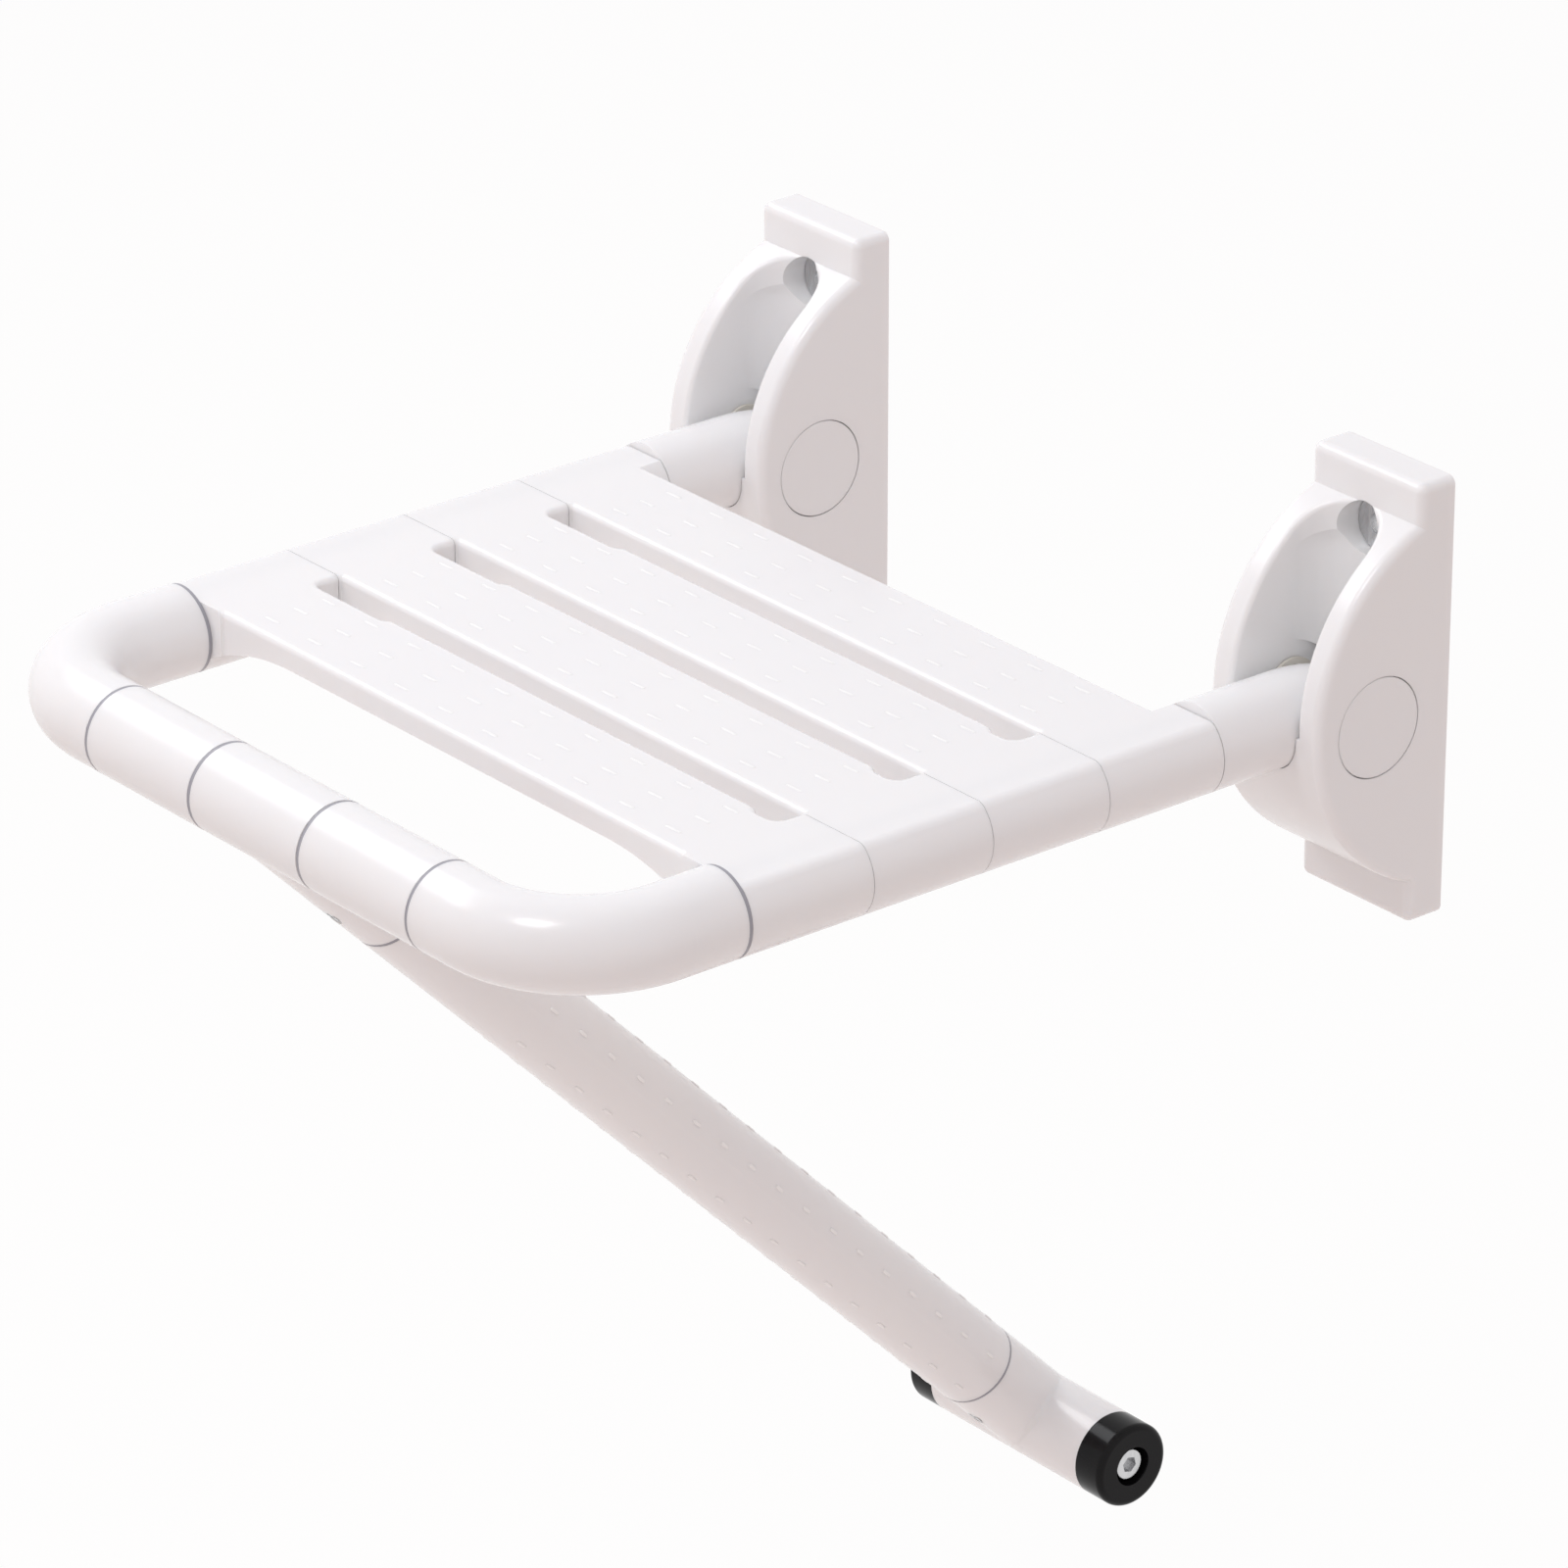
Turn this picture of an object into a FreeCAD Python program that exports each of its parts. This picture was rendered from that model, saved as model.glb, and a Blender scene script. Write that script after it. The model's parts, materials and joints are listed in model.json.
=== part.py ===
import FreeCAD, Part
import math
import os
from FreeCAD import Placement, Rotation, Vector

# Fold down wall seat, in millimetres.
# X runs along the wall, the wall is the plane y = 0, the seat reaches towards -Y and +Z is up.
# The origin is the middle of the four wall screw holes, on the wall.

# Wall screws
screw_rise = 66.0            # upper screw above lower screw
screw_hole = 9.0             # hole in the steel yoke
screw_seat = 9.5             # steel seat under the screw's head, from the wall
screw_seat_gap = 0.3         # seat to the sides of its room
screw_pocket = 22.0          # room for the screw's head and washer

# Layout of the frame
arm_spacing = 320.0          # from arm axis to arm axis, the brackets share it
bar_to_wall = 390.0          # front bar axis to the wall
pivot_to_wall = 34.5         # hinge axis to the wall
pivot_drop = 31.0            # hinge axis below the middle of the screw holes
bend_radius = 47.0           # centre line of the frame's corners

# Tubes
sleeve_outer = 35.0          # white sleeves
core_outer = 25.0            # steel tube inside them
core_wall = 1.5
sleeve_gap = 0.1             # radial room between sleeve and core
running_gap = 0.05           # radial room where something turns
ring_width = 1.5             # coloured rings between sleeves
ring_sink = 0.15             # rings lie this far below the sleeves' surface
end_gap = 0.3                # room at a turning part's end faces

# Wall housings
housing_width = 59.0
housing_thickness = 16.5     # the flat block on the wall
housing_above = 90.0         # block's top above the hinge axis
housing_below = 85.0         # block's bottom below the hinge axis
housing_round = 3.5          # its outer edges
cheek_reach = 64.5           # furthest point of the cheeks from the wall
cheek_radius = 77.0          # their curved front edge
cheek_rise = 3.0             # centre of that curve above the hinge axis
cheek_round = 3.5
pocket_width = 36.6          # room for the arm between the cheeks
pocket_back = 14.5           # pocket's back, from the wall
pocket_top = 54.0            # centre of the round top of the pocket's back, above the hinge axis
stow_gap = 0.1               # bridge left between the folded arm's channel and the block's face
pocket_round = 2.0
cradle_gap = 0.3             # arm to the saddle that it rests on

# Steel yokes inside the housings
yoke_thickness = 3.0         # back of the yoke, on the wall
ear_thickness = 2.5
ear_radius = 16.0
ear_cover = 1.5              # plastic between the pocket and the ear
yoke_above = 80.0            # yoke's top above the hinge axis
yoke_below = 75.0
yoke_gap = 0.1               # room between yoke and housing
yoke_corner = 5.0

# Hinge
pin_diameter = 12.0
pin_head = 22.0
pin_head_height = 2.2
pin_overhang = 2.6           # pin's end beyond the far ear
clip_outer = 19.0
clip_thickness = 1.2
pin_recess = 30.0            # round recess for head and clip
cover_diameter = 39.0        # flush round covers
cover_thickness = 2.5
cover_gap = 0.4
cover_lip = 1.2
bush_wall = 1.5
bush_flange = 24.0
bush_flange_height = 1.2
bush_length = 12.0
pivot_sleeve_wall = 2.0
nose_start = 54.5            # where the arm's end starts to taper, from the wall
nose_end = 16.5              # its tip, from the wall

# Seat slats
slats_start = 318.0          # front end of the first slat, from the wall
slat_pitch = 54.75
slat_count = 4
slat_gap = 0.3               # seam between two slats' collars
slat_top = 14.0              # flat top of plank and collars above the arm axes
slat_edge = 9.6              # height of the slats' edges
slat_belly = 2.9             # how much thicker a slat is along its middle
belly_width = 38.0
slot_half_length = 137.0
slot_corner = 4.5
front_step = 1.0             # plank's front edge behind its collars' front ends
back_step = 9.0              # its back edge in front of their back ends
relief_depth = 2.5           # wider stretch near the slots' ends, on the front side only
relief_left = 92.0
relief_right = 124.0
relief_slope = 4.0           # length of the step between narrow and wide
relief_bend = 4.0
slat_round = 2.5
collar_round = 6.0           # outer edges of the flat top
last_cut_half_length = 155.0    # last slat's back edge runs into its collars, to clear the housing when folded
haunch_outer = 144.0         # haunch under the slat, from the middle of the seat
haunch_middle = 124.0
haunch_inner = 96.0
haunch_middle_drop = 13.5    # its curve below the top face at haunch_middle

# Small screws
screw_shank = 5.0
small_head = 9.5
small_head_height = 2.6
screw_sunk = 0.4             # heads below the sleeves' surface
screw_spare = 0.6            # room beyond a screw's end
slat_screw_length = 9.0
leg_screw_length = 8.0

# Front bar
ring_near = 33.0             # rings beside the leg's hub, from the middle
ring_far = 96.5              # rings beside the corners

# Support leg
leg_angle = 45.4             # below the seat at rest
leg_length = 513.0           # front bar axis to the foot's cross tube axis
leg_ring = 66.2              # ring below the hub, from the front bar's axis
leg_ring_low = 465.0         # thin ring above the foot
leg_ring_low_width = 1.2
hub_round = 5.0
hub_bush_outer = 29.0
hub_bush_length = 22.0
core_clearance = 3.5         # leg core's end to the hub's bore
hub_screw_at = 46.0
foot_screw_above = 30.0      # above the cross tube's axis
foot_round = 2.0
foot_stub_step = 0.05        # the foot's upright is this much thinner than its cross tube

# Foot
foot_half = 44.0             # half the white cross tube
cap_length = 14.3
cap_round = 2.5
cap_spigot = 11.5
cap_recess = 16.4
cap_recess_depth = 10.0
bar_half = 31.0              # steel cross bar inside the foot
bolt_diameter = 8.0
bolt_head = 13.0
bolt_head_height = 8.0
bolt_length = 25.0
bolt_room = 4.0              # tapped hole beyond the bolt's end
hex_key = 6.0
hex_depth = 4.0

# Worked out from the sizes above
X = Vector(1, 0, 0)
Y = Vector(0, 1, 0)
Z = Vector(0, 0, 1)
half_span = arm_spacing / 2
sleeve_r = sleeve_outer / 2
core_r = core_outer / 2
sleeve_bore_r = core_r + sleeve_gap
pivot_y = -pivot_to_wall
pivot_z = -pivot_drop
bar_y = -bar_to_wall
slats_end = slats_start - slat_count * slat_pitch
pocket_r = pocket_width / 2
ear_inside = pocket_r + ear_cover
ear_outside = ear_inside + ear_thickness
bush_inner_r = pin_diameter / 2 + running_gap
bush_outer_r = bush_inner_r + bush_wall
pivot_sleeve_r = bush_outer_r + pivot_sleeve_wall
pivot_sleeve_half = pocket_r - end_gap - bush_flange_height
hub_half = ring_near - ring_width / 2 - end_gap
leg_turn = -(90.0 + leg_angle)


def rod(radius, start, end):
    axis = end.sub(start)
    return Part.makeCylinder(radius, axis.Length, start, axis)


def pipe(outer, inner, start, end):
    return rod(outer, start, end).cut(rod(inner, start, end))


def block(low, high):
    size = high.sub(low)
    return Part.makeBox(size.x, size.y, size.z, low)


def cone(radius_start, radius_end, start, end):
    axis = end.sub(start)
    return Part.makeCone(radius_start, radius_end, axis.Length, start, axis)


def fuse_all(shapes):
    whole = shapes[0].multiFuse(shapes[1:])
    return whole.removeSplitter()


def moved(shape, offset):
    copy = shape.copy()
    copy.translate(offset)
    return copy


def circle_edge(shape, radius, axis, level):
    """Edges of this radius whose centre lies at this level along the axis."""
    found = []
    for edge in shape.Edges:
        curve = edge.Curve
        if isinstance(curve, Part.Circle) and abs(curve.Radius - radius) < 0.01:
            if abs(curve.Center.dot(axis) - level) < 0.01:
                found.append(edge)
    return found


def at_pivot(x, y, z):
    """A point given from the hinge axis, at a bracket's middle plane."""
    return Vector(x, pivot_y + y, pivot_z + z)


# Wall housing

def block_on_wall():
    low = Vector(-housing_width / 2, -housing_thickness, pivot_z - housing_below)
    high = Vector(housing_width / 2, 0, pivot_z + housing_above)
    shape = block(low, high)
    edges = [e for e in shape.Edges if not on_plane(e, Y, 0.0)]
    return shape.makeFillet(housing_round, edges)


def on_plane(edge, axis, level):
    return all(abs(v.Point.dot(axis) - level) < 0.01 for v in edge.Vertexes)


def points_of(edge):
    """Points along an edge, none for an edge without length."""
    return [] if edge.Degenerated else edge.discretize(5)


def cheeks():
    """The rounded body in front of the block, before the arm's pocket is cut."""
    centre_y = -cheek_reach + cheek_radius
    centre_z = pivot_z + cheek_rise
    across = housing_width / 2
    back = -housing_thickness + housing_round + 1.0
    half_chord = math.sqrt(cheek_radius ** 2 - (centre_y - back) ** 2)
    top = Vector(-across, back, centre_z + half_chord)
    front = Vector(-across, -cheek_reach, centre_z)
    bottom = Vector(-across, back, centre_z - half_chord)
    curve = Part.Arc(top, front, bottom).toShape()
    chord = Part.LineSegment(bottom, top).toShape()
    face = Part.Face(Part.Wire([curve, chord]))
    body = face.extrude(Vector(housing_width, 0, 0))
    rims = [e for e in body.Edges if isinstance(e.Curve, Part.Circle)]
    return body.makeFillet(cheek_round, rims)


def arm_pocket():
    """Room for the arm, from its saddle up through the open top."""
    reach = Vector(0, -cheek_reach * 2, 0)
    back_axis = pivot_to_wall - pocket_back - pocket_r
    axis_low = at_pivot(0, back_axis, 0)
    axis_high = at_pivot(0, back_axis, pocket_top)
    upright = rod(pocket_r, axis_low, axis_high)
    ball = Part.makeSphere(pocket_r, axis_high)
    low = at_pivot(-pocket_r, back_axis, 0).add(reach)
    slot = block(low, at_pivot(pocket_r, back_axis, pocket_top))
    sweep = rod(pocket_r, at_pivot(-pocket_r, 0, 0), at_pivot(pocket_r, 0, 0))
    saddle_r = sleeve_r + cradle_gap
    saddle = rod(saddle_r, at_pivot(0, 0, 0), at_pivot(0, 0, 0).add(reach))
    channel_axis = pivot_to_wall - housing_thickness - stow_gap - pocket_r
    channel_low = at_pivot(0, channel_axis, 0)
    channel_high = at_pivot(0, channel_axis, housing_above)
    channel = rod(pocket_r, channel_low, channel_high)
    front_low = at_pivot(-pocket_r, channel_axis, 0).add(reach)
    front = block(front_low, at_pivot(pocket_r, channel_axis, housing_above))
    return fuse_all([upright, ball, slot, sweep, saddle, channel, front])


def rim_edges(shape):
    """Where the pocket meets the cheeks' curved front."""
    centre = Vector(0, -cheek_reach + cheek_radius, pivot_z + cheek_rise)
    found = []
    for edge in shape.Edges:
        points = points_of(edge)
        flat = points and all(abs(abs(p.x) - pocket_r) < 0.02 for p in points)
        on_front = all(abs(Vector(0, p.y - centre.y, p.z - centre.z).Length - cheek_radius) < 0.02 for p in points)
        if flat and on_front:
            found.append(edge)
    return found


def yoke_space():
    across = ear_outside + yoke_gap
    low = Vector(-across, -yoke_thickness - yoke_gap, pivot_z - yoke_below - yoke_gap)
    high = Vector(across, 0, pivot_z + yoke_above + yoke_gap)
    spaces = [block(low, high)]
    for side in (-1, 1):
        inner = side * (ear_inside - yoke_gap)
        outer = side * (ear_outside + yoke_gap)
        spaces.append(ear_shape(inner, outer, ear_radius + yoke_gap))
    return fuse_all(spaces)


def ear_shape(x_from, x_to, radius):
    eye = rod(radius, at_pivot(x_from, 0, 0), at_pivot(x_to, 0, 0))
    low = Vector(min(x_from, x_to), pivot_y, pivot_z - radius)
    high = Vector(max(x_from, x_to), -yoke_thickness / 2, pivot_z + radius)
    return fuse_all([eye, block(low, high)])


def wall_housing():
    shape = fuse_all([block_on_wall(), cheeks()]).cut(arm_pocket())
    rims = rim_edges(shape)
    if rims:
        shape = shape.makeFillet(pocket_round, rims)
    cuts = [yoke_space()]
    for z in (-screw_rise / 2, screw_rise / 2):
        cuts.append(rod(screw_pocket / 2, Vector(0, 0, z), at_pivot(0, 0, 0).add(Vector(0, 0, z - pivot_z))))
    half = housing_width / 2
    cuts.append(rod(pin_diameter / 2 + sleeve_gap * 4, at_pivot(-half, 0, 0), at_pivot(half, 0, 0)))
    for side in (-1, 1):
        face = side * (half + 1)
        cuts.append(rod(pin_recess / 2, at_pivot(side * ear_outside, 0, 0), at_pivot(face, 0, 0)))
        floor = side * (half - cover_thickness)
        cuts.append(rod(cover_diameter / 2 + cover_gap, at_pivot(floor, 0, 0), at_pivot(face, 0, 0)))
    return shape.cut(fuse_all(cuts))


def wall_yoke():
    """Bent steel channel with a seat for each wall screw; its ears hold the hinge pin."""
    low = Vector(-ear_outside, -yoke_thickness, pivot_z - yoke_below)
    high = Vector(ear_outside, 0, pivot_z + yoke_above)
    back = block(low, high)
    corners = [e for e in back.Edges if abs(e.Length - yoke_thickness) < 0.01]
    back = back.makeFillet(yoke_corner, corners)
    ears = [ear_shape(side * ear_inside, side * ear_outside, ear_radius) for side in (-1, 1)]
    seat_r = screw_pocket / 2 - screw_seat_gap
    seats = [rod(seat_r, Vector(0, 0, z), Vector(0, -screw_seat, z)) for z in (-screw_rise / 2, screw_rise / 2)]
    shape = fuse_all([back] + ears + seats)
    pin_hole = rod(pin_diameter / 2 + running_gap, at_pivot(-half_span, 0, 0), at_pivot(half_span, 0, 0))
    holes = [pin_hole]
    for z in (-screw_rise / 2, screw_rise / 2):
        holes.append(rod(screw_hole / 2, Vector(0, 1, z), Vector(0, -screw_seat - 1, z)))
    for hole in holes:
        shape = shape.cut(hole)
    return shape


def hinge_pin(side):
    """The head is on the outer side of its bracket."""
    head_at = side * ear_outside
    head_top = side * (ear_outside + pin_head_height)
    end = -side * (ear_outside + pin_overhang)
    shank = rod(pin_diameter / 2, at_pivot(head_at, 0, 0), at_pivot(end, 0, 0))
    head = rod(pin_head / 2, at_pivot(head_at, 0, 0), at_pivot(head_top, 0, 0))
    shape = fuse_all([shank, head])
    groove_from = -side * ear_outside
    groove_to = -side * (ear_outside + clip_thickness + sleeve_gap)
    groove = pipe(pin_diameter, clip_bore_r(), at_pivot(groove_from, 0, 0), at_pivot(groove_to, 0, 0))
    return shape.cut(groove)


def clip_bore_r():
    return pin_diameter / 2 - 0.8


def retaining_clip(side):
    """Open ring in the pin's groove."""
    start = at_pivot(-side * ear_outside, 0, 0)
    end = at_pivot(-side * (ear_outside + clip_thickness), 0, 0)
    ring = pipe(clip_outer / 2, clip_bore_r(), start, end)
    low = at_pivot(min(start.x, end.x) - 1, -clip_bore_r() * 0.8, -clip_outer)
    high = at_pivot(max(start.x, end.x) + 1, clip_bore_r() * 0.8, 0)
    return ring.cut(block(low, high))


def pin_covers():
    """Two flush discs with a round lip that grips the recess."""
    covers = []
    half = housing_width / 2
    for side in (-1, 1):
        face = at_pivot(side * half, 0, 0)
        floor = at_pivot(side * (half - cover_thickness), 0, 0)
        lip_end = at_pivot(side * (half - cover_thickness - cover_lip), 0, 0)
        disc = rod(cover_diameter / 2, floor, face)
        disc = disc.makeFillet(0.5, circle_edge(disc, cover_diameter / 2, X, face.x))
        lip_r = pin_recess / 2 - sleeve_gap
        lip = pipe(lip_r, lip_r - 1.5, lip_end, floor)
        covers.append(fuse_all([disc, lip]))
    return Part.makeCompound(covers)


# Frame that swings up

def arm_point(side, from_wall, height=0.0):
    return Vector(side * half_span, -from_wall, pivot_z + height)


def bar_point(x):
    return Vector(x, bar_y, pivot_z)


def corner(side, outer, inner):
    """A quarter turn of tube between the front bar and an arm."""
    centre = Vector(side * (half_span - bend_radius), bar_y + bend_radius, pivot_z)
    start = Vector(centre.x, bar_y, pivot_z)
    turns = []
    for radius in (outer, inner):
        if radius > 0:
            face = Part.Face(Part.Wire(Part.makeCircle(radius, start, X)))
            turns.append(face.revolve(centre, Z, side * 90.0))
    return turns[0] if len(turns) == 1 else turns[0].cut(turns[1])


def corner_elbow(side):
    bar_end = side * (ring_far + ring_width / 2)
    turn_start = side * (half_span - bend_radius)
    arm_start = bar_to_wall - bend_radius
    arm_stop = slats_start + ring_width
    parts = [
        pipe(sleeve_r, sleeve_bore_r, bar_point(bar_end), bar_point(turn_start)),
        corner(side, sleeve_r, sleeve_bore_r),
        pipe(sleeve_r, sleeve_bore_r, arm_point(side, arm_start), arm_point(side, arm_stop)),
    ]
    return fuse_all(parts)


def frame_core_tube():
    """One bent steel tube, welded to the hinge sleeves at its two ends."""
    inner = core_r - core_wall
    turn = half_span - bend_radius
    arm_start = bar_to_wall - bend_radius
    parts = [pipe(core_r, inner, bar_point(-turn), bar_point(turn))]
    for side in (-1, 1):
        parts.append(corner(side, core_r, inner))
        parts.append(pipe(core_r, inner, arm_point(side, arm_start), arm_point(side, pivot_to_wall)))
    shape = fuse_all(parts)
    reach = half_span + sleeve_outer
    shape = shape.cut(rod(pivot_sleeve_r, at_pivot(-reach, 0, 0), at_pivot(reach, 0, 0)))
    for side, from_wall in slat_screw_places():
        hole = rod(screw_shank / 2 + running_gap, arm_point(side, from_wall), arm_point(side, from_wall, -sleeve_outer))
        shape = shape.cut(hole)
    return shape


def front_sleeve(side):
    start = side * (ring_near + ring_width / 2)
    end = side * (ring_far - ring_width / 2)
    return pipe(sleeve_r, sleeve_bore_r, bar_point(start), bar_point(end))


def ring(start, end):
    return pipe(sleeve_r - ring_sink, core_r + running_gap, start, end)


def seam_rings():
    half = ring_width / 2
    rings = []
    for side in (-1, 1):
        for place in (ring_near, ring_far):
            rings.append(ring(bar_point(side * (place - half)), bar_point(side * (place + half))))
        rings.append(ring(arm_point(side, slats_start), arm_point(side, slats_start + ring_width)))
    return Part.makeCompound(rings)


def arm_nose():
    """Solid of revolution along -Y from the origin: the arm's tapered end."""
    length = nose_start - nose_end
    steps = 12
    points = []
    for i in range(steps + 1):
        turn = math.radians(90.0 * i / steps)
        points.append(Vector(sleeve_r * math.cos(turn), length * math.sin(turn), 0))
    curve = Part.BSplineCurve()
    curve.interpolate(Points=points, InitialTangent=Vector(0, 1, 0), FinalTangent=Vector(-1, 0, 0))
    base = Part.LineSegment(Vector(0, 0, 0), points[0]).toShape()
    axis = Part.LineSegment(points[-1], Vector(0, 0, 0)).toShape()
    face = Part.Face(Part.Wire([base, curve.toShape(), axis]))
    return face.revolve(Vector(0, 0, 0), Y, 360.0)


def arm_end(side):
    """White sleeve behind the slats, with the round end that turns in the housing."""
    start = arm_point(side, slats_end - slat_gap)
    tube = rod(sleeve_r, start, arm_point(side, nose_start))
    nose = moved(arm_nose(), arm_point(side, nose_start))
    shape = fuse_all([tube, nose])
    shape = shape.cut(rod(sleeve_bore_r, start, arm_point(side, pivot_to_wall)))
    reach = half_span + sleeve_outer
    shape = shape.cut(rod(pivot_sleeve_r + running_gap, at_pivot(-reach, 0, 0), at_pivot(reach, 0, 0)))
    middle = side * half_span
    for end in (-1, 1):
        face = middle + end * pivot_sleeve_half
        outside = middle + end * sleeve_outer
        shape = shape.cut(rod(bush_flange / 2 + end_gap, at_pivot(face, 0, 0), at_pivot(outside, 0, 0)))
    return shape


def pivot_sleeve(side):
    middle = side * half_span
    start = at_pivot(middle - pivot_sleeve_half, 0, 0)
    end = at_pivot(middle + pivot_sleeve_half, 0, 0)
    return pipe(pivot_sleeve_r, bush_outer_r, start, end)


def pivot_bushes(side):
    """Two flanged bushes, one in each end of the hinge sleeve."""
    middle = side * half_span
    bushes = []
    for end in (-1, 1):
        face = middle + end * pivot_sleeve_half
        inner = middle + end * (pivot_sleeve_half - bush_length)
        outer = middle + end * (pivot_sleeve_half + bush_flange_height)
        body = pipe(bush_outer_r, bush_inner_r, at_pivot(inner, 0, 0), at_pivot(face, 0, 0))
        flange = pipe(bush_flange / 2, bush_inner_r, at_pivot(face, 0, 0), at_pivot(outer, 0, 0))
        bushes.append(fuse_all([body, flange]))
    return Part.makeCompound(bushes)


# Slats

def slat_front(number):
    return slats_start - number * slat_pitch


def slat_screw_places():
    places = []
    for number in range(slat_count):
        for side in (-1, 1):
            places.append((side, slat_front(number) - slat_pitch / 2))
    return places


def slat_profile(y):
    """Plank and haunches as seen from the front, between the arm axes."""
    top = pivot_z + slat_top
    edge = top - slat_edge
    haunch_low = pivot_z - math.sqrt(sleeve_r ** 2 - (half_span - haunch_outer) ** 2)
    haunch_mid = top - haunch_middle_drop
    corners = {}
    for side in (-1, 1):
        corners[side] = [
            Vector(side * half_span, y, top),
            Vector(side * half_span, y, haunch_low),
            Vector(side * haunch_outer, y, haunch_low),
            Vector(side * haunch_middle, y, haunch_mid),
            Vector(side * haunch_inner, y, edge),
        ]
    left = corners[-1]
    right = corners[1]
    edges = [
        Part.LineSegment(right[0], left[0]),
        Part.LineSegment(left[0], left[1]),
        Part.LineSegment(left[1], left[2]),
        Part.Arc(left[2], left[3], left[4]),
        Part.LineSegment(left[4], right[4]),
        Part.Arc(right[4], right[3], right[2]),
        Part.LineSegment(right[2], right[1]),
        Part.LineSegment(right[1], right[0]),
    ]
    return Part.Face(Part.Wire([e.toShape() for e in edges]))


def slat_underside(y_middle):
    """Shallow rounded belly along the plank, for stiffness."""
    chord = belly_width / 2
    radius = (chord ** 2 + slat_belly ** 2) / (2 * slat_belly)
    edge = pivot_z + slat_top - slat_edge
    reach = haunch_middle
    centre_z = edge - slat_belly + radius
    belly = rod(radius, Vector(-reach, y_middle, centre_z), Vector(reach, y_middle, centre_z))
    low = Vector(-reach, y_middle - chord, edge - slat_belly)
    high = Vector(reach, y_middle + chord, edge + slat_round / 2)
    return belly.common(block(low, high))


def rounded_prism(corners, low, high):
    """Upright prism from (x, y, radius) corners in order."""
    edges = []
    count = len(corners)
    points = [Vector(x, y, low) for x, y, radius in corners]
    starts = []
    ends = []
    for i in range(count):
        here = points[i]
        before = points[i - 1].sub(here).normalize()
        after = points[(i + 1) % count].sub(here).normalize()
        half_angle = before.getAngle(after) / 2
        radius = corners[i][2]
        reach = radius / math.tan(half_angle)
        bisector = before.add(after).normalize()
        middle = here.add(bisector.multiply(radius / math.sin(half_angle) - radius))
        starts.append(here.add(Vector(before).multiply(reach)))
        ends.append(here.add(Vector(after).multiply(reach)))
        edges.append(Part.Arc(starts[i], middle, ends[i]).toShape())
        if i > 0:
            edges.insert(-1, Part.LineSegment(ends[i - 1], starts[i]).toShape())
    edges.append(Part.LineSegment(ends[-1], starts[0]).toShape())
    face = Part.Face(Part.Wire(edges))
    return face.extrude(Vector(0, 0, high - low))


def slat_cuts(number):
    """The plank's two long edges, set back from its collars' ends."""
    front = -slat_front(number)
    back = front + slat_pitch
    step = relief_slope / 2
    low = pivot_z - sleeve_outer
    high = pivot_z + sleeve_outer
    reach = slot_half_length
    corner_r = slot_corner
    near_r = front_step * 0.8
    front_cut = [
        (-reach, front - corner_r * 2, corner_r),
        (reach, front - corner_r * 2, corner_r),
        (reach, front + front_step, near_r),
        (-reach, front + front_step, near_r),
    ]
    last = last_cut_half_length
    back_cut = [
        (-last, back + corner_r * 2, corner_r),
        (-last, back - back_step, corner_r),
        (last, back - back_step, corner_r),
        (last, back + corner_r * 2, corner_r),
    ]
    if number < slat_count - 1:
        deep = back - back_step - relief_depth
        back_cut = [
            (-reach, back + corner_r * 2, corner_r),
            (-reach, deep, corner_r),
            (-relief_left - step, deep, relief_bend),
            (-relief_left + step, back - back_step, relief_bend),
            (relief_right - step, back - back_step, relief_bend),
            (relief_right + step, deep, relief_bend),
            (reach, deep, corner_r),
            (reach, back + corner_r * 2, corner_r),
        ]
    return [rounded_prism(front_cut, low, high), rounded_prism(back_cut, low, high)]


def top_edges(shape):
    """Edges of the flat top: those along the slots, and those along the collars' outer sides."""
    top = pivot_z + slat_top
    rims = []
    sides = []
    for edge in shape.Edges:
        points = points_of(edge)
        if not points or any(abs(p.z - top) > 0.01 for p in points):
            continue
        across = [abs(p.x) for p in points]
        if min(across) < slot_half_length + 0.1 and max(across) < half_span:
            rims.append(edge)
        if min(across) > half_span and max(across) - min(across) < 0.01:
            sides.append(edge)
    return rims, sides


def slat_collar(side, front, back):
    """Round the arm, with a flat top level with the plank."""
    collar = rod(sleeve_r, arm_point(side, -front), arm_point(side, -back))
    low = arm_point(side, -front + 1, slat_top).sub(Vector(sleeve_outer, 0, 0))
    high = arm_point(side, -back - 1, sleeve_outer).add(Vector(sleeve_outer, 0, 0))
    return collar.cut(block(low, high))


def seat_slat(number):
    """One moulded slat: a plank with a collar round each arm."""
    front = -slat_front(number) + slat_gap / 2
    back = -slat_front(number) + slat_pitch - slat_gap / 2
    plank = slat_profile(front).extrude(Vector(0, back - front, 0))
    shape = fuse_all([plank, slat_underside((front + front_step + back - back_step) / 2)])
    for cut in slat_cuts(number):
        shape = shape.cut(cut)
    shape = fuse_all([shape] + [slat_collar(side, front, back) for side in (-1, 1)])
    shape = shape.makeFillet(slat_round, top_edges(shape)[0])
    shape = shape.makeFillet(collar_round, top_edges(shape)[1])
    for side in (-1, 1):
        shape = shape.cut(rod(sleeve_bore_r, arm_point(side, -front + 1), arm_point(side, -back - 1)))
    for side, from_wall in slat_screw_places():
        if -from_wall > front and -from_wall < back:
            place = arm_point(side, from_wall, screw_sunk - sleeve_r)
            shape = shape.cut(screw_room(place, Z, slat_screw_length))
    return shape


# Countersunk screws

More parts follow.
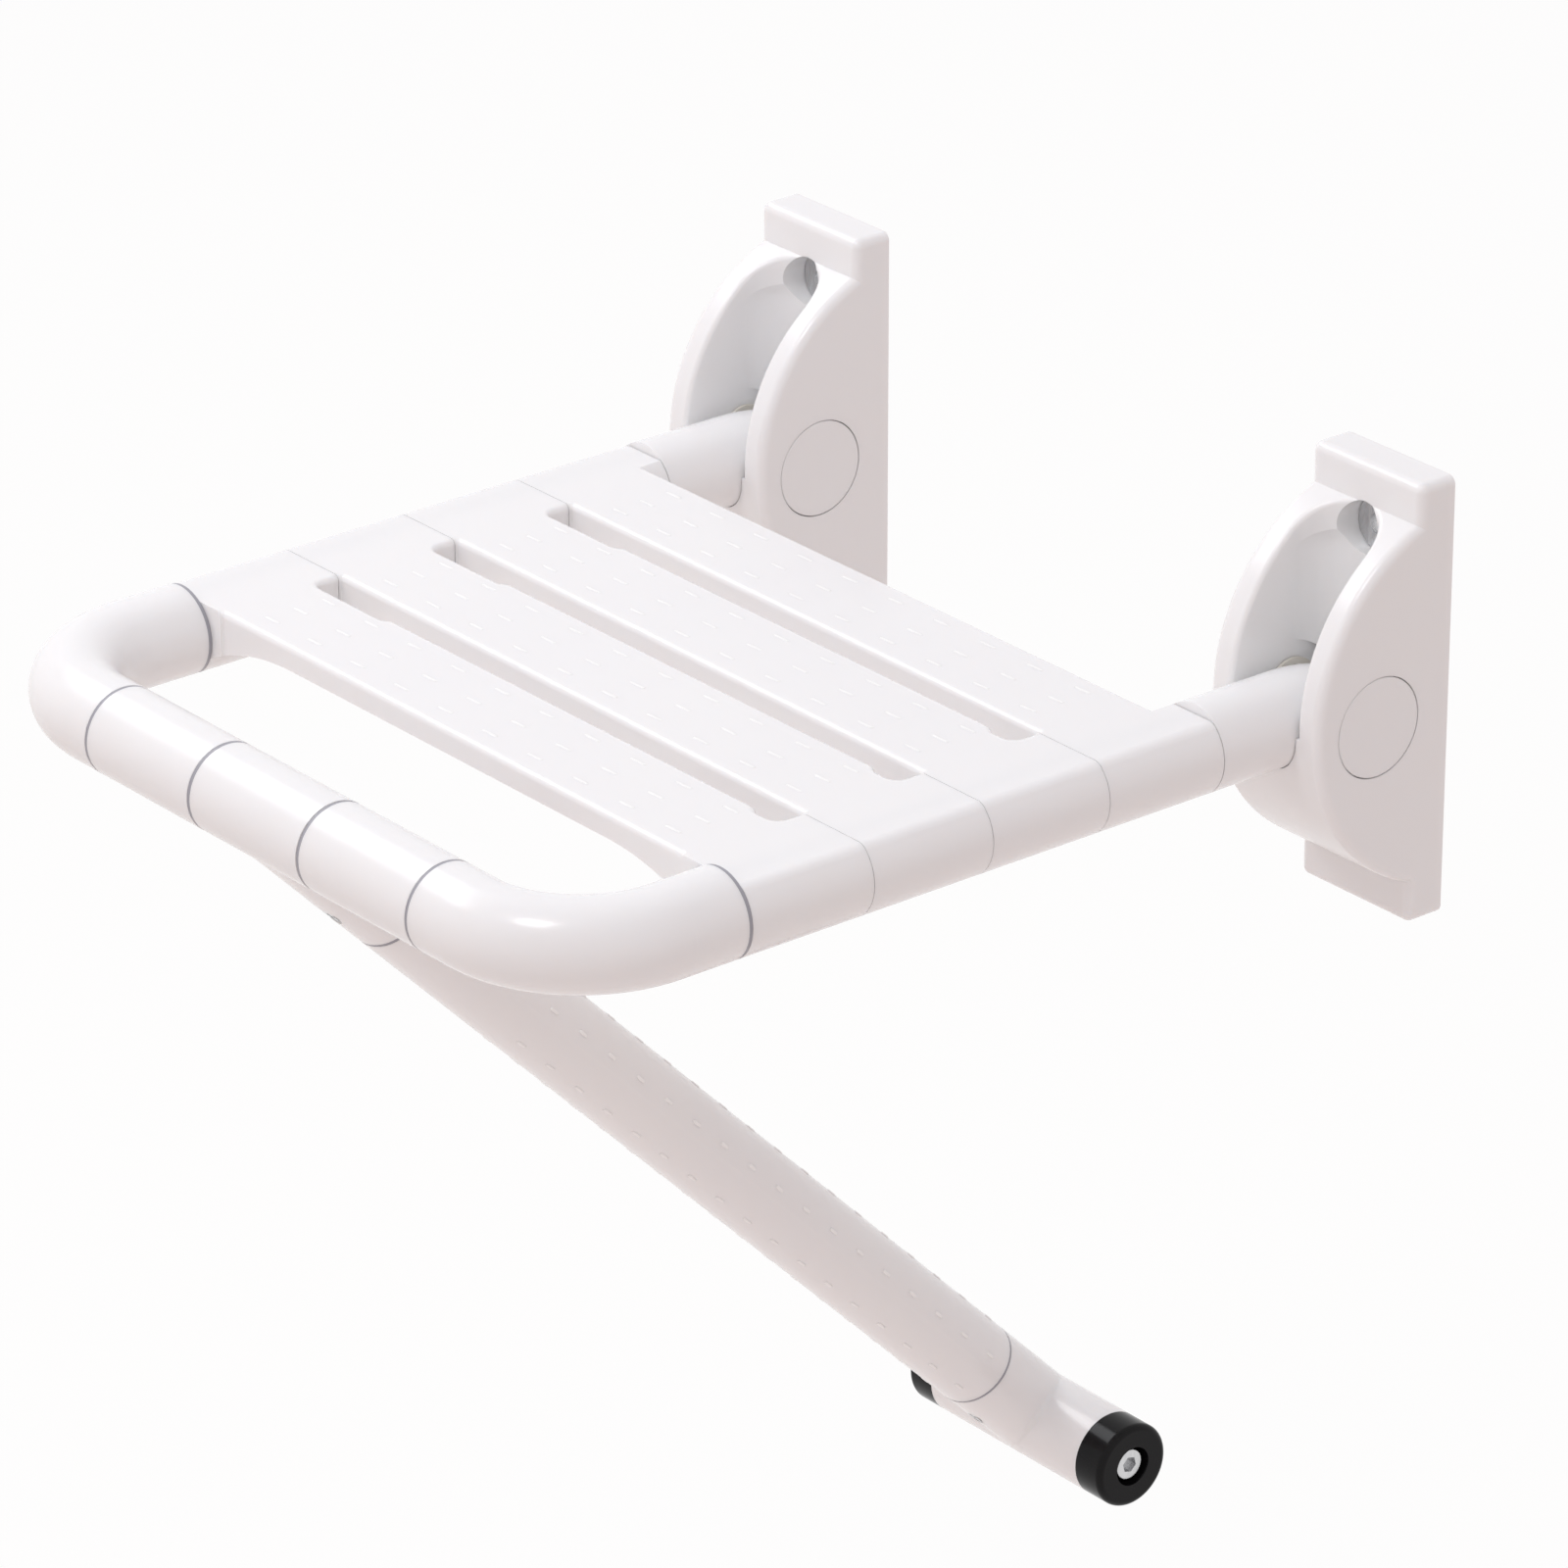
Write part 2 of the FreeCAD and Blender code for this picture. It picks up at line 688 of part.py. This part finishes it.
def small_screw(head, direction, length):
    """A screw whose flat head lies at the given point, pointing along the direction."""
    neck = head.add(Vector(direction).multiply(small_head_height))
    end = head.add(Vector(direction).multiply(length))
    bevel = cone(small_head / 2, screw_shank / 2, head, neck)
    shank = rod(screw_shank / 2, head, end)
    cross = Part.makeBox(small_head * 0.5, 1.0, 1.4)
    cross.translate(Vector(-small_head * 0.25, -0.5, 0))
    other = cross.copy()
    other.rotate(Vector(0, 0, 0), Z, 90)
    recess = fuse_all([cross, other])
    recess.Placement = Placement(head, Rotation(Z, direction))
    return fuse_all([bevel, shank]).cut(recess)


def screw_room(head, direction, length):
    """Hole and countersink for that screw, from just outside the surface."""
    outside = head.sub(Vector(direction).multiply(sleeve_r))
    neck = head.add(Vector(direction).multiply(small_head_height))
    end = head.add(Vector(direction).multiply(length + screw_spare))
    bevel = cone(small_head / 2 + sleeve_gap, screw_shank / 2 + sleeve_gap, head, neck)
    mouth = rod(small_head / 2 + sleeve_gap, outside, head)
    return fuse_all([mouth, bevel, rod(screw_shank / 2 + sleeve_gap, head, end)])


def slat_screws():
    """One screw through the underside of each collar into the steel tube."""
    screws = []
    for side, from_wall in slat_screw_places():
        head = arm_point(side, from_wall, screw_sunk - sleeve_r)
        screws.append(small_screw(head, Z, slat_screw_length))
    return Part.makeCompound(screws)


# Support leg, built along +Z from the front bar's axis and then turned into place

def placed_leg(shape):
    copy = shape.copy()
    copy.Placement = Placement(bar_point(0), Rotation(X, leg_turn))
    return copy


def along(s, x=0.0, y=0.0):
    return Vector(x, y, s)


def leg_screw_heads():
    """Both screws sit on the leg's underside."""
    level = sleeve_r - screw_sunk
    return [along(hub_screw_at, 0, level), along(leg_length - foot_screw_above, 0, level)]


def leg_hub():
    barrel = rod(sleeve_r, along(0, -hub_half), along(0, hub_half))
    branch = rod(sleeve_r, along(0), along(leg_ring))
    shape = fuse_all([barrel, branch])
    crease = [e for e in shape.Edges if not isinstance(e.Curve, (Part.Circle, Part.Line))]
    shape = shape.makeFillet(hub_round, crease)
    shape = shape.cut(rod(hub_bush_outer / 2, along(0, -hub_half), along(0, hub_half)))
    shape = shape.cut(rod(sleeve_bore_r, along(hub_bush_outer / 2 - 1), along(leg_ring)))
    return shape.cut(screw_room(leg_screw_heads()[0], Vector(0, -1, 0), leg_screw_length))


def hub_bushes():
    bushes = []
    for side in (-1, 1):
        outer = along(0, side * hub_half)
        inner = along(0, side * (hub_half - hub_bush_length))
        bushes.append(pipe(hub_bush_outer / 2, core_r + running_gap, inner, outer))
    return Part.makeCompound(bushes)


def leg_core_tube():
    start = along(hub_bush_outer / 2 + core_clearance)
    end = along(leg_length - core_r - running_gap)
    shape = pipe(core_r, core_r - core_wall, start, end)
    for head in leg_screw_heads():
        shape = shape.cut(rod(screw_shank / 2 + running_gap, head, Vector(head.x, 0, head.z)))
    return shape


def leg_sleeve():
    return pipe(sleeve_r, sleeve_bore_r, along(leg_ring + ring_width), along(leg_ring_low))


def leg_rings():
    upper = ring(along(leg_ring), along(leg_ring + ring_width))
    lower = ring(along(leg_ring_low), along(leg_ring_low + leg_ring_low_width))
    return Part.makeCompound([upper, lower])


def leg_foot():
    stub = rod(sleeve_r - foot_stub_step, along(leg_ring_low + leg_ring_low_width), along(leg_length))
    cross = rod(sleeve_r, along(leg_length, -foot_half), along(leg_length, foot_half))
    shape = fuse_all([stub, cross])
    crease = [e for e in shape.Edges if not isinstance(e.Curve, (Part.Circle, Part.Line))]
    shape = shape.makeFillet(foot_round, crease)
    shape = shape.cut(rod(sleeve_bore_r, along(leg_ring_low), along(leg_length)))
    shape = shape.cut(rod(sleeve_bore_r, along(leg_length, -foot_half), along(leg_length, foot_half)))
    return shape.cut(screw_room(leg_screw_heads()[1], Vector(0, -1, 0), leg_screw_length))


def leg_screws():
    screws = [small_screw(head, Vector(0, -1, 0), leg_screw_length) for head in leg_screw_heads()]
    return Part.makeCompound(screws)


def bolt_start():
    """The bolt head's seat in the cap."""
    return foot_half + cap_length - cap_recess_depth


def foot_cross_bar():
    """Steel bar inside the foot, tapped at both ends for the caps' bolts."""
    shape = rod(core_r, along(leg_length, -bar_half), along(leg_length, bar_half))
    for side in (-1, 1):
        mouth = along(leg_length, side * bar_half)
        bottom = along(leg_length, side * (bolt_start() - bolt_length - bolt_room))
        shape = shape.cut(rod(bolt_diameter / 2 + running_gap, bottom, mouth))
    return shape


def foot_cap(side):
    inner = along(leg_length, side * foot_half)
    outer = along(leg_length, side * (foot_half + cap_length))
    spigot_end = along(leg_length, side * (foot_half - cap_spigot))
    disc = rod(sleeve_r, inner, outer)
    disc = disc.makeFillet(cap_round, circle_edge(disc, sleeve_r, X, outer.x))
    shape = fuse_all([disc, rod(core_r, spigot_end, inner)])
    seat = along(leg_length, side * bolt_start())
    shape = shape.cut(rod(cap_recess / 2, seat, outer))
    return shape.cut(rod(bolt_diameter / 2 + sleeve_gap * 2, spigot_end, outer))


def foot_cap_bolt(side):
    seat = along(leg_length, side * bolt_start())
    top = along(leg_length, side * (bolt_start() + bolt_head_height))
    end = along(leg_length, side * (bolt_start() - bolt_length))
    head = rod(bolt_head / 2, seat, top)
    head = head.makeFillet(0.6, circle_edge(head, bolt_head / 2, X, top.x))
    shape = fuse_all([head, rod(bolt_diameter / 2, end, seat)])
    corner_r = hex_key / math.sqrt(3)
    floor = along(leg_length, side * (bolt_start() + bolt_head_height - hex_depth))
    corners = []
    for i in range(6):
        turn = math.radians(60.0 * i)
        corners.append(floor.add(Vector(0, corner_r * math.cos(turn), corner_r * math.sin(turn))))
    face = Part.Face(Part.makePolygon(corners + [corners[0]]))
    return shape.cut(face.extrude(Vector(side * hex_depth * 2, 0, 0)))


def foot_cap_bolts():
    return Part.makeCompound([foot_cap_bolt(-1), foot_cap_bolt(1)])


def build_nodes():
    nodes = {}
    housing = wall_housing()
    yoke = wall_yoke()
    covers = pin_covers()
    for side, name in ((-1, "left"), (1, "right")):
        shift = Vector(side * half_span, 0, 0)
        nodes["wall_housing_" + name] = moved(housing, shift)
        nodes["wall_yoke_" + name] = moved(yoke, shift)
        nodes["pin_covers_" + name] = moved(covers, shift)
        nodes["hinge_pin_" + name] = moved(hinge_pin(side), shift)
        nodes["retaining_clip_" + name] = moved(retaining_clip(side), shift)
        nodes["corner_elbow_" + name] = corner_elbow(side)
        nodes["front_sleeve_" + name] = front_sleeve(side)
        nodes["arm_end_" + name] = arm_end(side)
        nodes["pivot_sleeve_" + name] = pivot_sleeve(side)
        nodes["pivot_bushes_" + name] = pivot_bushes(side)
        nodes["foot_cap_" + name] = placed_leg(foot_cap(side))
    nodes["frame_core_tube"] = frame_core_tube()
    nodes["seam_rings"] = seam_rings()
    for number in range(slat_count):
        nodes["seat_slat_%d" % (number + 1)] = seat_slat(number)
    nodes["slat_screws"] = slat_screws()
    leg_parts = {
        "leg_hub": leg_hub(),
        "hub_bushes": hub_bushes(),
        "leg_core_tube": leg_core_tube(),
        "leg_sleeve": leg_sleeve(),
        "leg_rings": leg_rings(),
        "leg_foot": leg_foot(),
        "leg_screws": leg_screws(),
        "foot_cross_bar": foot_cross_bar(),
        "foot_cap_bolts": foot_cap_bolts(),
    }
    for name, shape in leg_parts.items():
        nodes[name] = placed_leg(shape)
    return nodes


os.makedirs("parts", exist_ok=True)
for node_name, node_shape in build_nodes().items():
    node_shape.exportStep("parts/" + node_name + ".step")
    print(node_name, len(node_shape.Solids), node_shape.isValid(), round(node_shape.Volume))
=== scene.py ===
import json
import math
import bpy
from mathutils import Matrix, Vector


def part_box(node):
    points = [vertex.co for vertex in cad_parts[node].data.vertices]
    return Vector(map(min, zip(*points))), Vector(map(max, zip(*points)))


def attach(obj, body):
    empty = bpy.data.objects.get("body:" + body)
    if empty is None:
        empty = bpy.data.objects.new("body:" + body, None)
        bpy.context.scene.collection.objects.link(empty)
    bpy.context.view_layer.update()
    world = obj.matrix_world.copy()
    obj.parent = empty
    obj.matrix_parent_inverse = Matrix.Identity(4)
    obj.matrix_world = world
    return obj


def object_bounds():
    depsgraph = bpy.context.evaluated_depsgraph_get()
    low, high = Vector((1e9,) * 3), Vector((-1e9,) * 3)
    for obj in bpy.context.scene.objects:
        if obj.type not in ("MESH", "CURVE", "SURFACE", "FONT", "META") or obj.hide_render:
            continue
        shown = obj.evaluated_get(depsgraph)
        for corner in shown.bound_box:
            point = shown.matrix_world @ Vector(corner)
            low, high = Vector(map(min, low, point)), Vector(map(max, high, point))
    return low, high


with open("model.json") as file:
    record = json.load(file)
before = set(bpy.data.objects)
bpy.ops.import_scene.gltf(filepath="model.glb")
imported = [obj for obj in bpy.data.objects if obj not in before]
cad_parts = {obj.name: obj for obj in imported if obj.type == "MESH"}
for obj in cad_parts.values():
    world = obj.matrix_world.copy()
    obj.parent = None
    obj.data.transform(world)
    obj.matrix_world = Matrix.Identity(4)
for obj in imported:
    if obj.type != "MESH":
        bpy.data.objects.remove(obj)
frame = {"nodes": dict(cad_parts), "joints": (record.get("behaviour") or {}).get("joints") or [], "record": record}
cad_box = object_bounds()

# Places that the frame gives, in metres
nodes = frame["nodes"]
joints = {joint["name"]: joint for joint in frame["joints"]}
pivot = Vector(joints["seat_fold"]["pos_m"])
bar = Vector(joints["leg_fold"]["pos_m"])
foot_low, foot_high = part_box("leg_foot")
middle = (cad_box[0] + cad_box[1]) / 2

# Camera at the photograph's viewing angle
image_width = 1600
focal_pixels = 8649.0
sensor_width = 36.0
camera_yaw = -50.77            # degrees from +Y towards +X
camera_pitch = 24.52           # degrees below the horizon
camera_place = Vector((2.235, -1.9841, 1.2627))     # x and y in the frame, z above the hinge
camera_reach = 50.0

# Light
horizon_light = (0.69, 0.605, 0.585)
zenith_light = (0.66, 0.65, 0.68)
lamp_colour = (0.95, 0.97, 1.0)
lamps = (                      # name, place from the part's middle, size, power in watts
    ("key", (-1.62, -0.5, 1.74), (1.8, 0.6), 14.0),
    ("top_front", (0.13, -1.17, 2.26), (0.6, 0.6), 13.5),
)

# Floor
floor_size = 12.0
floor_drop = 0.20              # below the foot at rest, to clear the leg when it is plumb
floor_colour = (0.88, 0.80, 0.76)
floor_shadow = 0.06            # how much of the shadow the camera sees

# Surface detail: noise scales, and depths in metres
cloud_scale = 9.0
gloss_scale = 24.0
gloss_change = 0.03
skin_scale = 700.0
skin_depth = 0.00002
brush_scale = 600.0
brush_depth = 0.00005
value_limits = (0.3, 0.7)      # the middle of a noise, which the ranges are spread over
colour_limits = (0.35, 0.65)
nylon_ior = 1.5
white_depth = {                # light goes a little way into the white nylon
    "Subsurface Weight": 0.35,
    "Subsurface Radius": (1.0, 0.92, 0.86),
    "Subsurface Scale": 0.0025,
}

# Grip marks
slat_count = 4
mark_columns = 10
mark_pitch = 0.0265
mark_rows = (0.011, 0.024, 0.037)       # from the slat's front edge
mark_length = 0.0085
mark_width = 0.0016
mark_height = 0.00012
mark_sides = 16
mark_rings = ((1.0, -0.3), (0.92, 0.35), (0.72, 0.75), (0.4, 0.95))     # shares of width, height
sleeve_radius = 0.0175                  # of the leg's and the foot's white tube
leg_mark_pitch = 0.01895
leg_mark_first = 0.1498                 # from the front bar's axis
leg_mark_count = 17
leg_mark_rows = 6
leg_mark_turn = 16.0                    # degrees, of the first row
leg_mark_length = 0.0050
leg_mark_height = 0.0004


# Materials

def new_material(name):
    material = bpy.data.materials.new(name)
    material.use_nodes = True
    tree = material.node_tree
    tree.nodes.clear()
    output = tree.nodes.new("ShaderNodeOutputMaterial")
    shader = tree.nodes.new("ShaderNodeBsdfPrincipled")
    tree.links.new(shader.outputs[0], output.inputs[0])
    return material, tree, shader


def noise(tree, scale, detail, stretch=(1.0, 1.0, 1.0)):
    place = tree.nodes.new("ShaderNodeTexCoord")
    mapping = tree.nodes.new("ShaderNodeMapping")
    mapping.inputs["Scale"].default_value = stretch
    texture = tree.nodes.new("ShaderNodeTexNoise")
    texture.inputs["Scale"].default_value = scale
    texture.inputs["Detail"].default_value = detail
    tree.links.new(place.outputs["Object"], mapping.inputs["Vector"])
    tree.links.new(mapping.outputs[0], texture.inputs["Vector"])
    return texture.outputs["Fac"]


def spread(tree, value, low, high):
    """Maps the middle of a noise to a range."""
    node = tree.nodes.new("ShaderNodeMapRange")
    node.inputs["From Min"].default_value = value_limits[0]
    node.inputs["From Max"].default_value = value_limits[1]
    node.inputs["To Min"].default_value = low
    node.inputs["To Max"].default_value = high
    tree.links.new(value, node.inputs["Value"])
    return node.outputs[0]


def ramp(tree, value, colours, limits):
    """Goes from the first colour to the second between the two limits of a value."""
    node = tree.nodes.new("ShaderNodeValToRGB")
    for element, colour, limit in zip(node.color_ramp.elements, colours, limits):
        element.position = limit
        element.color = (*colour, 1.0)
    tree.links.new(value, node.inputs[0])
    return node.outputs[0]


def bump(tree, shader, value, strength, distance):
    node = tree.nodes.new("ShaderNodeBump")
    node.inputs["Strength"].default_value = strength
    node.inputs["Distance"].default_value = distance
    tree.links.new(value, node.inputs["Height"])
    tree.links.new(node.outputs[0], shader.inputs["Normal"])


def nylon(name, first, second, roughness, grain=0.1, inputs=None):
    """Moulded plastic: faint cloudiness, uneven gloss and a very fine skin."""
    material, tree, shader = new_material(name)
    clouds = noise(tree, cloud_scale, 2.0)
    colour = ramp(tree, clouds, (first, second), colour_limits)
    tree.links.new(colour, shader.inputs["Base Color"])
    gloss = noise(tree, gloss_scale, 3.0)
    uneven = spread(tree, gloss, roughness - gloss_change, roughness + gloss_change)
    tree.links.new(uneven, shader.inputs["Roughness"])
    bump(tree, shader, noise(tree, skin_scale, 2.0), grain, skin_depth)
    shader.inputs["IOR"].default_value = nylon_ior
    for key, value in (inputs or {}).items():
        shader.inputs[key].default_value = value
    return material


def metal(name, first, second, roughness, stretch):
    """Brushed metal with grain along one direction."""
    material, tree, shader = new_material(name)
    shader.inputs["Metallic"].default_value = 1.0
    grain = noise(tree, brush_scale, 5.0, stretch)
    colour = ramp(tree, grain, (first, second), colour_limits)
    tree.links.new(colour, shader.inputs["Base Color"])
    uneven = spread(tree, grain, roughness - 0.08, roughness + 0.1)
    tree.links.new(uneven, shader.inputs["Roughness"])
    bump(tree, shader, grain, 0.25, brush_depth)
    return material


def paint(node, material):
    mesh = nodes[node].data
    mesh.materials.clear()
    mesh.materials.append(material)


# Grip marks: raised dashes of the same white nylon, coloured lighter than it as a painted highlight of the light
# their raised tops catch
mark_painted_highlight = nylon("mark_nylon_painted_highlight", (0.955, 0.955, 0.95), (0.965, 0.965, 0.96), 0.22)
slot_materials = {
    "white_nylon": nylon(
        "white_nylon", (0.89, 0.89, 0.895), (0.90, 0.90, 0.90), 0.22, inputs=white_depth),
    "ring_grey": nylon("ring_grey", (0.33, 0.33, 0.37), (0.37, 0.37, 0.41), 0.45),
    "bush_plastic": nylon("bush_acetal", (0.70, 0.67, 0.60), (0.74, 0.71, 0.64), 0.45),
    "black_rubber": nylon(
        "black_rubber", (0.005, 0.005, 0.006), (0.008, 0.007, 0.007), 0.16, 0.2,
        {"Specular IOR Level": 0.14}),
    "stainless": metal(
        "stainless", (0.58, 0.58, 0.59), (0.68, 0.68, 0.69), 0.26, (1.0, 1.0, 0.06)),
    "spring_steel": metal(
        "spring_steel", (0.30, 0.29, 0.28), (0.38, 0.37, 0.36), 0.34, (1.0, 1.0, 1.0)),
    "bar_aluminium": metal(
        "turned_aluminium", (0.66, 0.66, 0.68), (0.76, 0.76, 0.78), 0.30, (0.08, 1.0, 1.0)),
}
for part in frame["record"]["subparts"]:
    paint(part["node"], slot_materials[part["material_slot"]])


# Grip marks

def dash(length, width, height):
    """Low rounded dash along X on the plane z = 0, as (vertices, faces)."""
    half = (length - width) / 2
    vertices = []
    for scale, level in mark_rings:
        for i in range(mark_sides):
            turn = 2 * math.pi * i / mark_sides
            x = math.cos(turn) * width / 2 * scale
            x += half if math.cos(turn) > 1e-6 else -half
            vertices.append((x, math.sin(turn) * width / 2 * scale, height * level))
    faces = []
    for ring in range(len(mark_rings) - 1):
        for i in range(mark_sides):
            j = (i + 1) % mark_sides
            low = ring * mark_sides
            high = low + mark_sides
            faces.append((low + i, low + j, high + j, high + i))
    top = (len(mark_rings) - 1) * mark_sides
    faces.append(tuple(top + i for i in range(mark_sides)))
    faces.append(tuple(reversed(range(mark_sides))))
    return vertices, faces


def many(name, shape, places, body):
    """Adds one object with a copy of the shape at each 4x4 place."""
    vertices = []
    faces = []
    for place in places:
        first = len(vertices)
        vertices += [place @ Vector(v) for v in shape[0]]
        faces += [tuple(first + i for i in face) for face in shape[1]]
    mesh = bpy.data.meshes.new(name)
    mesh.from_pydata(vertices, [], faces)
    mesh.shade_smooth()
    # the dashes take the lighter colour, a painted highlight
    mesh.materials.append(mark_painted_highlight)
    piece = bpy.data.objects.new(name, mesh)
    bpy.context.scene.collection.objects.link(piece)
    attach(piece, body)


def slat_marks(number):
    """Three rows of dashes on a slat's top, along its front edge."""
    node = "seat_slat_%d" % number
    low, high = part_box(node)
    places = []
    for row in mark_rows:
        for column in range(mark_columns):
            x = (column - (mark_columns - 1) / 2) * mark_pitch
            places.append(Matrix.Translation((x, low.y + row, high.z)))
    shape = dash(mark_length, mark_width, mark_height)
    many("slat_%d_grip_marks" % number, shape, places, "seat")


def leg_marks():
    """Rows of dashes along the leg, evenly round it."""
    foot = Vector((0.0, foot_high.y - sleeve_radius, foot_low.z + sleeve_radius))
    along = Vector((0.0, foot.y - bar.y, foot.z - bar.z)).normalized()
    across = Vector((1.0, 0.0, 0.0))
    up = across.cross(along)
    places = []
    for row in range(leg_mark_rows):
        turn = math.radians(leg_mark_turn + 360.0 * row / leg_mark_rows)
        outward = across * math.sin(turn) + up * math.cos(turn)
        side = outward.cross(along)
        for i in range(leg_mark_count):
            distance = leg_mark_first + i * leg_mark_pitch
            place = Matrix((along, side, outward)).transposed().to_4x4()
            place.translation = bar + along * distance + outward * sleeve_radius
            places.append(place)
    many("leg_grip_marks", dash(leg_mark_length, mark_width, leg_mark_height), places, "leg")


for number in range(1, slat_count + 1):
    slat_marks(number)
leg_marks()


# Floor, world, lights and camera

def stage_white(tree, kept):
    """Tells the rays that see plain white from those that only carry light.

    Camera, mirror and glass rays give 1 minus the share of the shadow that is kept, all
    others give 0.
    """
    path = tree.nodes.new("ShaderNodeLightPath")
    seen = path.outputs["Is Camera Ray"]
    for ray in ("Is Glossy Ray", "Is Transmission Ray"):
        either = tree.nodes.new("ShaderNodeMath")
        either.operation = "MAXIMUM"
        tree.links.new(seen, either.inputs[0])
        tree.links.new(path.outputs[ray], either.inputs[1])
        seen = either.outputs[0]
    share = tree.nodes.new("ShaderNodeMath")
    share.operation = "MULTIPLY"
    share.inputs[1].default_value = 1.0 - kept
    tree.links.new(seen, share.inputs[0])
    return share.outputs[0]


def mixed(tree, kept, light, white, output):
    """Sends one shader to the rays that carry light and the white one to those that see."""
    mix = tree.nodes.new("ShaderNodeMixShader")
    tree.links.new(stage_white(tree, kept), mix.inputs[0])
    tree.links.new(light.outputs[0], mix.inputs[1])
    tree.links.new(white.outputs[0], mix.inputs[2])
    tree.links.new(mix.outputs[0], output.inputs[0])


def make_floor():
    half = floor_size / 2
    z = cad_box[0].z - floor_drop
    corners = [(-half, -half, z), (half, -half, z), (half, half, z), (-half, half, z)]
    mesh = bpy.data.meshes.new("floor")
    mesh.from_pydata(corners, [], [(0, 1, 2, 3)])
    floor = bpy.data.objects.new("floor", mesh)
    bpy.context.scene.collection.objects.link(floor)
    material = bpy.data.materials.new("floor_white")
    material.use_nodes = True
    tree = material.node_tree
    tree.nodes.clear()
    output = tree.nodes.new("ShaderNodeOutputMaterial")
    diffuse = tree.nodes.new("ShaderNodeBsdfDiffuse")
    diffuse.inputs["Color"].default_value = (*floor_colour, 1.0)
    glow = tree.nodes.new("ShaderNodeEmission")
    mixed(tree, floor_shadow, diffuse, glow, output)
    mesh.materials.append(material)


def make_world():
    """White to the camera; its light goes from one colour at the horizon to one above."""
    world = bpy.data.worlds.new("studio")
    world.use_nodes = True
    bpy.context.scene.world = world
    tree = world.node_tree
    tree.nodes.clear()
    output = tree.nodes.new("ShaderNodeOutputWorld")
    place = tree.nodes.new("ShaderNodeTexCoord")
    split = tree.nodes.new("ShaderNodeSeparateXYZ")
    tree.links.new(place.outputs["Generated"], split.inputs[0])
    sky = ramp(tree, split.outputs["Z"], (horizon_light, zenith_light), (0.0, 1.0))
    light = tree.nodes.new("ShaderNodeBackground")
    tree.links.new(sky, light.inputs["Color"])
    white = tree.nodes.new("ShaderNodeBackground")
    white.inputs["Color"].default_value = (1.0, 1.0, 1.0, 1.0)
    mixed(tree, 0.0, light, white, output)


def area_light(name, offset, size, power):
    """A rectangular lamp that looks at the part's middle."""
    data = bpy.data.lights.new(name, "AREA")
    data.shape = "RECTANGLE"
    data.size, data.size_y = size
    data.energy = power
    data.color = lamp_colour
    place = middle + Vector(offset)
    lamp = bpy.data.objects.new(name, data)
    lamp.location = place
    lamp.rotation_euler = (middle - place).to_track_quat("-Z", "Y").to_euler()
    bpy.context.scene.collection.objects.link(lamp)


def make_camera():
    data = bpy.data.cameras.new("camera")
    data.sensor_width = sensor_width
    data.lens = focal_pixels / image_width * sensor_width
    data.clip_end = camera_reach
    camera = bpy.data.objects.new("camera", data)
    camera.location = camera_place + Vector((0.0, 0.0, pivot.z))
    camera.rotation_euler = (math.radians(90.0 - camera_pitch), 0.0, math.radians(-camera_yaw))
    bpy.context.scene.collection.objects.link(camera)
    bpy.context.scene.camera = camera


make_floor()
make_world()
for lamp_values in lamps:
    area_light(*lamp_values)
make_camera()
bpy.context.scene.view_settings.view_transform = "Standard"
